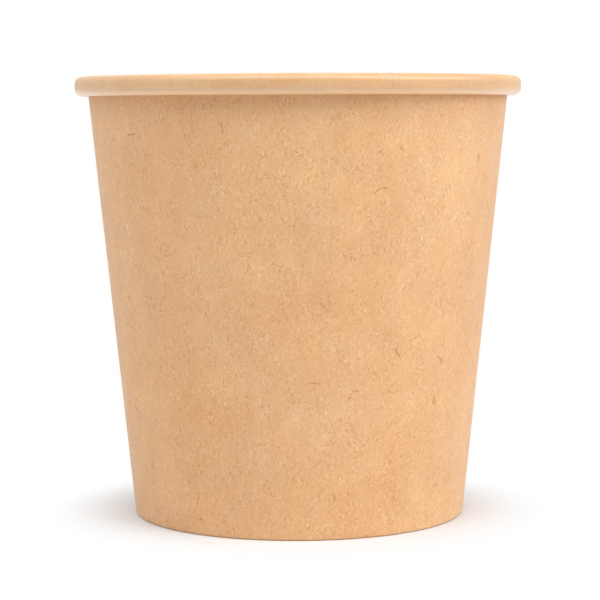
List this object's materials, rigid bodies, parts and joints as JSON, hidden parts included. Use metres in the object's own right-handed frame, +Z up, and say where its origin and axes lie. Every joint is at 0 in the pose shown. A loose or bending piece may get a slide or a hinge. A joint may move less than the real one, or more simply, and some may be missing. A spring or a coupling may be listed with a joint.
{
  "type": "paper cup",
  "caption": "Squat tapered paper hot cup in unbleached kraft board, with a rolled rim, a lapped seam at the back and a recessed base, for a small hot drink.",
  "frame": {"origin": "centre of the standing edge, on the surface that the cup stands on", "axes": "+Z up along the cup's axis to the mouth, +Y towards the lapped seam at the back, -Y towards the camera"},
  "size_m": [0.062, 0.062, 0.061],
  "materials": {
    "kraft_wall": "uncoated unbleached kraft outside, smooth thin coating inside and over the rolled rim",
    "kraft_base": "unbleached kraft, smooth thin coating on top"
  },
  "bodies": {
    "root": {"side_wall": "kraft_wall", "base_disc": "kraft_base"}
  },
  "joints": []
}
